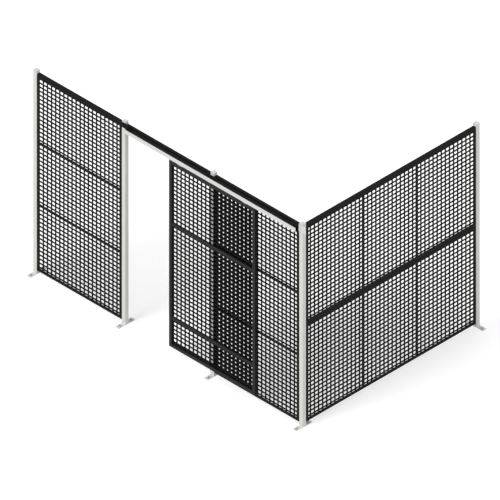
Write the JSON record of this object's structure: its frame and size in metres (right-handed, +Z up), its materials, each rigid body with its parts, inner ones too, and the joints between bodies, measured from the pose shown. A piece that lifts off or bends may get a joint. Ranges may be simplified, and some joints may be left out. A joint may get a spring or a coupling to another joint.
{
  "type": "wire mesh partition with sliding door",
  "caption": "Free-standing corner partition of square posts and welded wire mesh panels, with a top-hung sliding mesh door in its long wall.",
  "frame": {"origin": "middle of the underside of the corner post's foot plate, on the floor", "axes": "+Z up; the long wall runs from the corner along -X and the return wall along +Y; the door hangs on the long wall's -Y side"},
  "size_m": [3.9497, 2.6289, 2.5173],
  "materials": {
    "white_powder_coat": "satin white powder coat on steel",
    "black_powder_coat": "satin black powder coat on steel",
    "charcoal_powder_coat": "satin charcoal powder coat on steel",
    "zinc_plated_steel": "bright zinc plate",
    "nylon": "turned nylon",
    "guide_plastic": "black wear-resistant plastic",
    "stop_rubber": "black moulded rubber"
  },
  "bodies": {
    "wall": {"corner_cap": "white_powder_coat", "corner_cover_plate": "white_powder_coat", "corner_foot": "white_powder_coat", "corner_post": "white_powder_coat", "door_track": "black_powder_coat", "guide_arm": "zinc_plated_steel", "guide_block": "guide_plastic", "header_tie": "black_powder_coat", "jamb_cap": "white_powder_coat", "jamb_foot": "white_powder_coat", "jamb_post": "white_powder_coat", "left_bay_frame": "black_powder_coat", "left_bay_mesh": "black_powder_coat", "left_bay_stiffener_far": "black_powder_coat", "left_bay_stiffener_near": "black_powder_coat", "left_end_cap": "white_powder_coat", "left_end_foot": "white_powder_coat", "left_end_post": "white_powder_coat", "middle_cap": "white_powder_coat", "middle_foot": "white_powder_coat", "middle_post": "white_powder_coat", "return_end_cap": "white_powder_coat", "return_end_foot": "white_powder_coat", "return_end_post": "white_powder_coat", "return_lower_frame": "black_powder_coat", "return_lower_mesh": "black_powder_coat", "return_lower_stiffener_far": "black_powder_coat", "return_lower_stiffener_near": "black_powder_coat", "return_upper_frame": "black_powder_coat", "return_upper_mesh": "black_powder_coat", "return_upper_stiffener_far": "black_powder_coat", "return_upper_stiffener_near": "black_powder_coat", "right_bay_frame": "black_powder_coat", "right_bay_mesh": "black_powder_coat", "right_bay_stiffener_far": "black_powder_coat", "right_bay_stiffener_near": "black_powder_coat", "track_bracket_corner": "black_powder_coat", "track_bracket_jamb": "black_powder_coat", "track_bracket_middle": "black_powder_coat", "track_cover": "white_powder_coat", "track_stop_open": "stop_rubber", "track_stop_shut": "stop_rubber"},
    "door": {"axle_left": "zinc_plated_steel", "axle_right": "zinc_plated_steel", "door_frame": "charcoal_powder_coat", "door_mesh": "black_powder_coat", "door_rail_lower": "charcoal_powder_coat", "door_rail_upper": "charcoal_powder_coat", "hanger_left": "zinc_plated_steel", "hanger_right": "zinc_plated_steel"},
    "left_wheels": {"wheel_left_back": "nylon", "wheel_left_front": "nylon"},
    "right_wheels": {"wheel_right_back": "nylon", "wheel_right_front": "nylon"}
  },
  "joints": [
    {"name": "door_slide", "type": "slide", "parent": "wall", "child": "door", "axis": [1, 0, 0], "range_m": [-0.6706, 0.5063]},
    {"name": "left_wheels_turn", "type": "hinge", "parent": "door", "child": "left_wheels", "pos_m": [-1.7, -0.047, 2.4428], "axis": [0, 1, 0], "continuous": true},
    {"name": "right_wheels_turn", "type": "hinge", "parent": "door", "child": "right_wheels", "pos_m": [-0.7688, -0.047, 2.4428], "axis": [0, 1, 0], "continuous": true}
  ],
  "couplings": [
    {"joint": "left_wheels_turn", "follows": "door_slide", "rad_per_m": 50},
    {"joint": "right_wheels_turn", "follows": "door_slide", "rad_per_m": 50}
  ]
}
